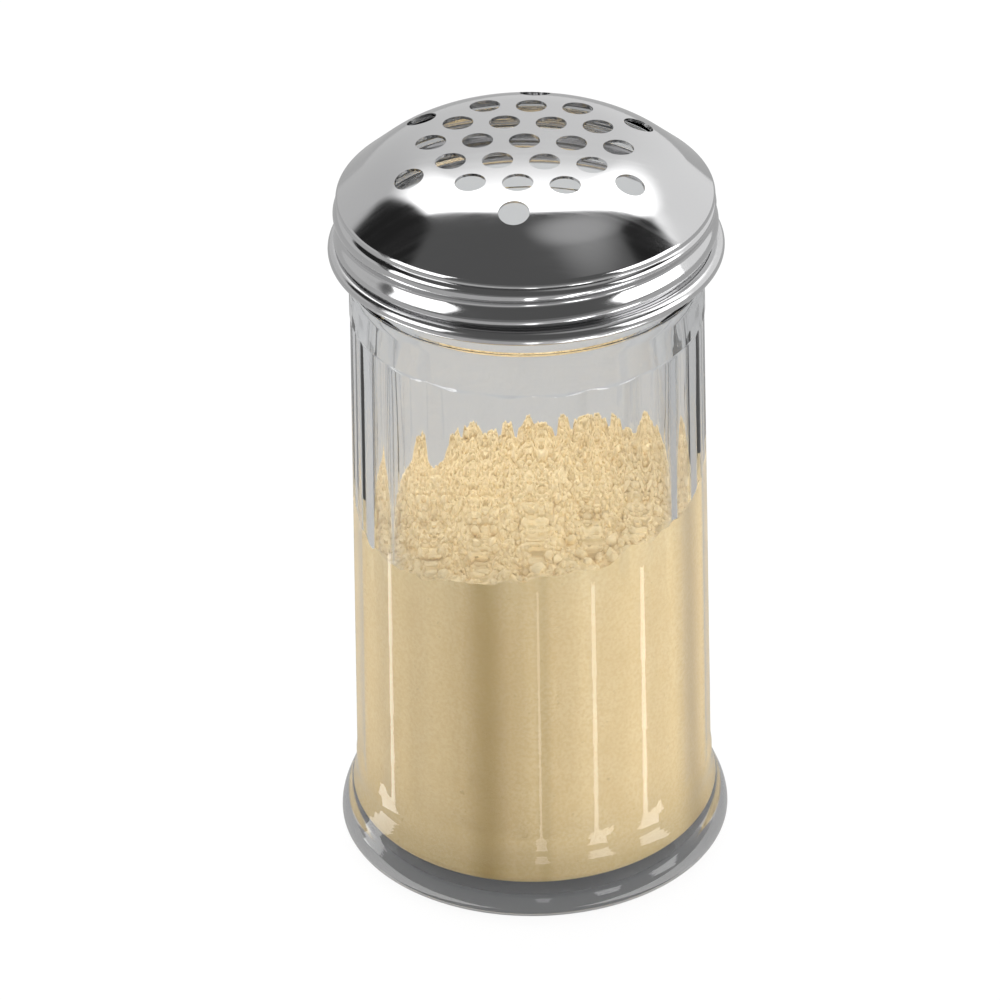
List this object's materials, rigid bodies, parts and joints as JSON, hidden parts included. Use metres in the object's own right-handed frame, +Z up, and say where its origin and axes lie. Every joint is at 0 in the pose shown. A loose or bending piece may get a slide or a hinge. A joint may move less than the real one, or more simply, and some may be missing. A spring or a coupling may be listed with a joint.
{
  "type": "restaurant spice shaker",
  "caption": "Table shaker: panelled glass jar with a heavy round foot, a domed perforated steel screw lid with a rolled skirt, and ground spice inside.",
  "frame": {"origin": "centre of the foot, on the surface the shaker stands on", "axes": "+Z up along the jar's axis, -Y towards the viewer of the picture, +X to the right"},
  "size_m": [0.0734, 0.0734, 0.145],
  "materials": {
    "clear_glass": "clear, smooth, pressed",
    "polished_steel": "polished stainless, fine buffing marks",
    "ground_spice": "matt, fine grains and small clumps"
  },
  "bodies": {
    "jar": {"glass_jar": "clear_glass", "spice_fill": "ground_spice"},
    "lid": {"perforated_lid": "polished_steel"}
  },
  "joints": [
    {"name": "lid_lift", "type": "slide", "parent": "jar", "child": "lid", "axis": [0, 0, 1], "range_m": [0, 0.05]}
  ]
}
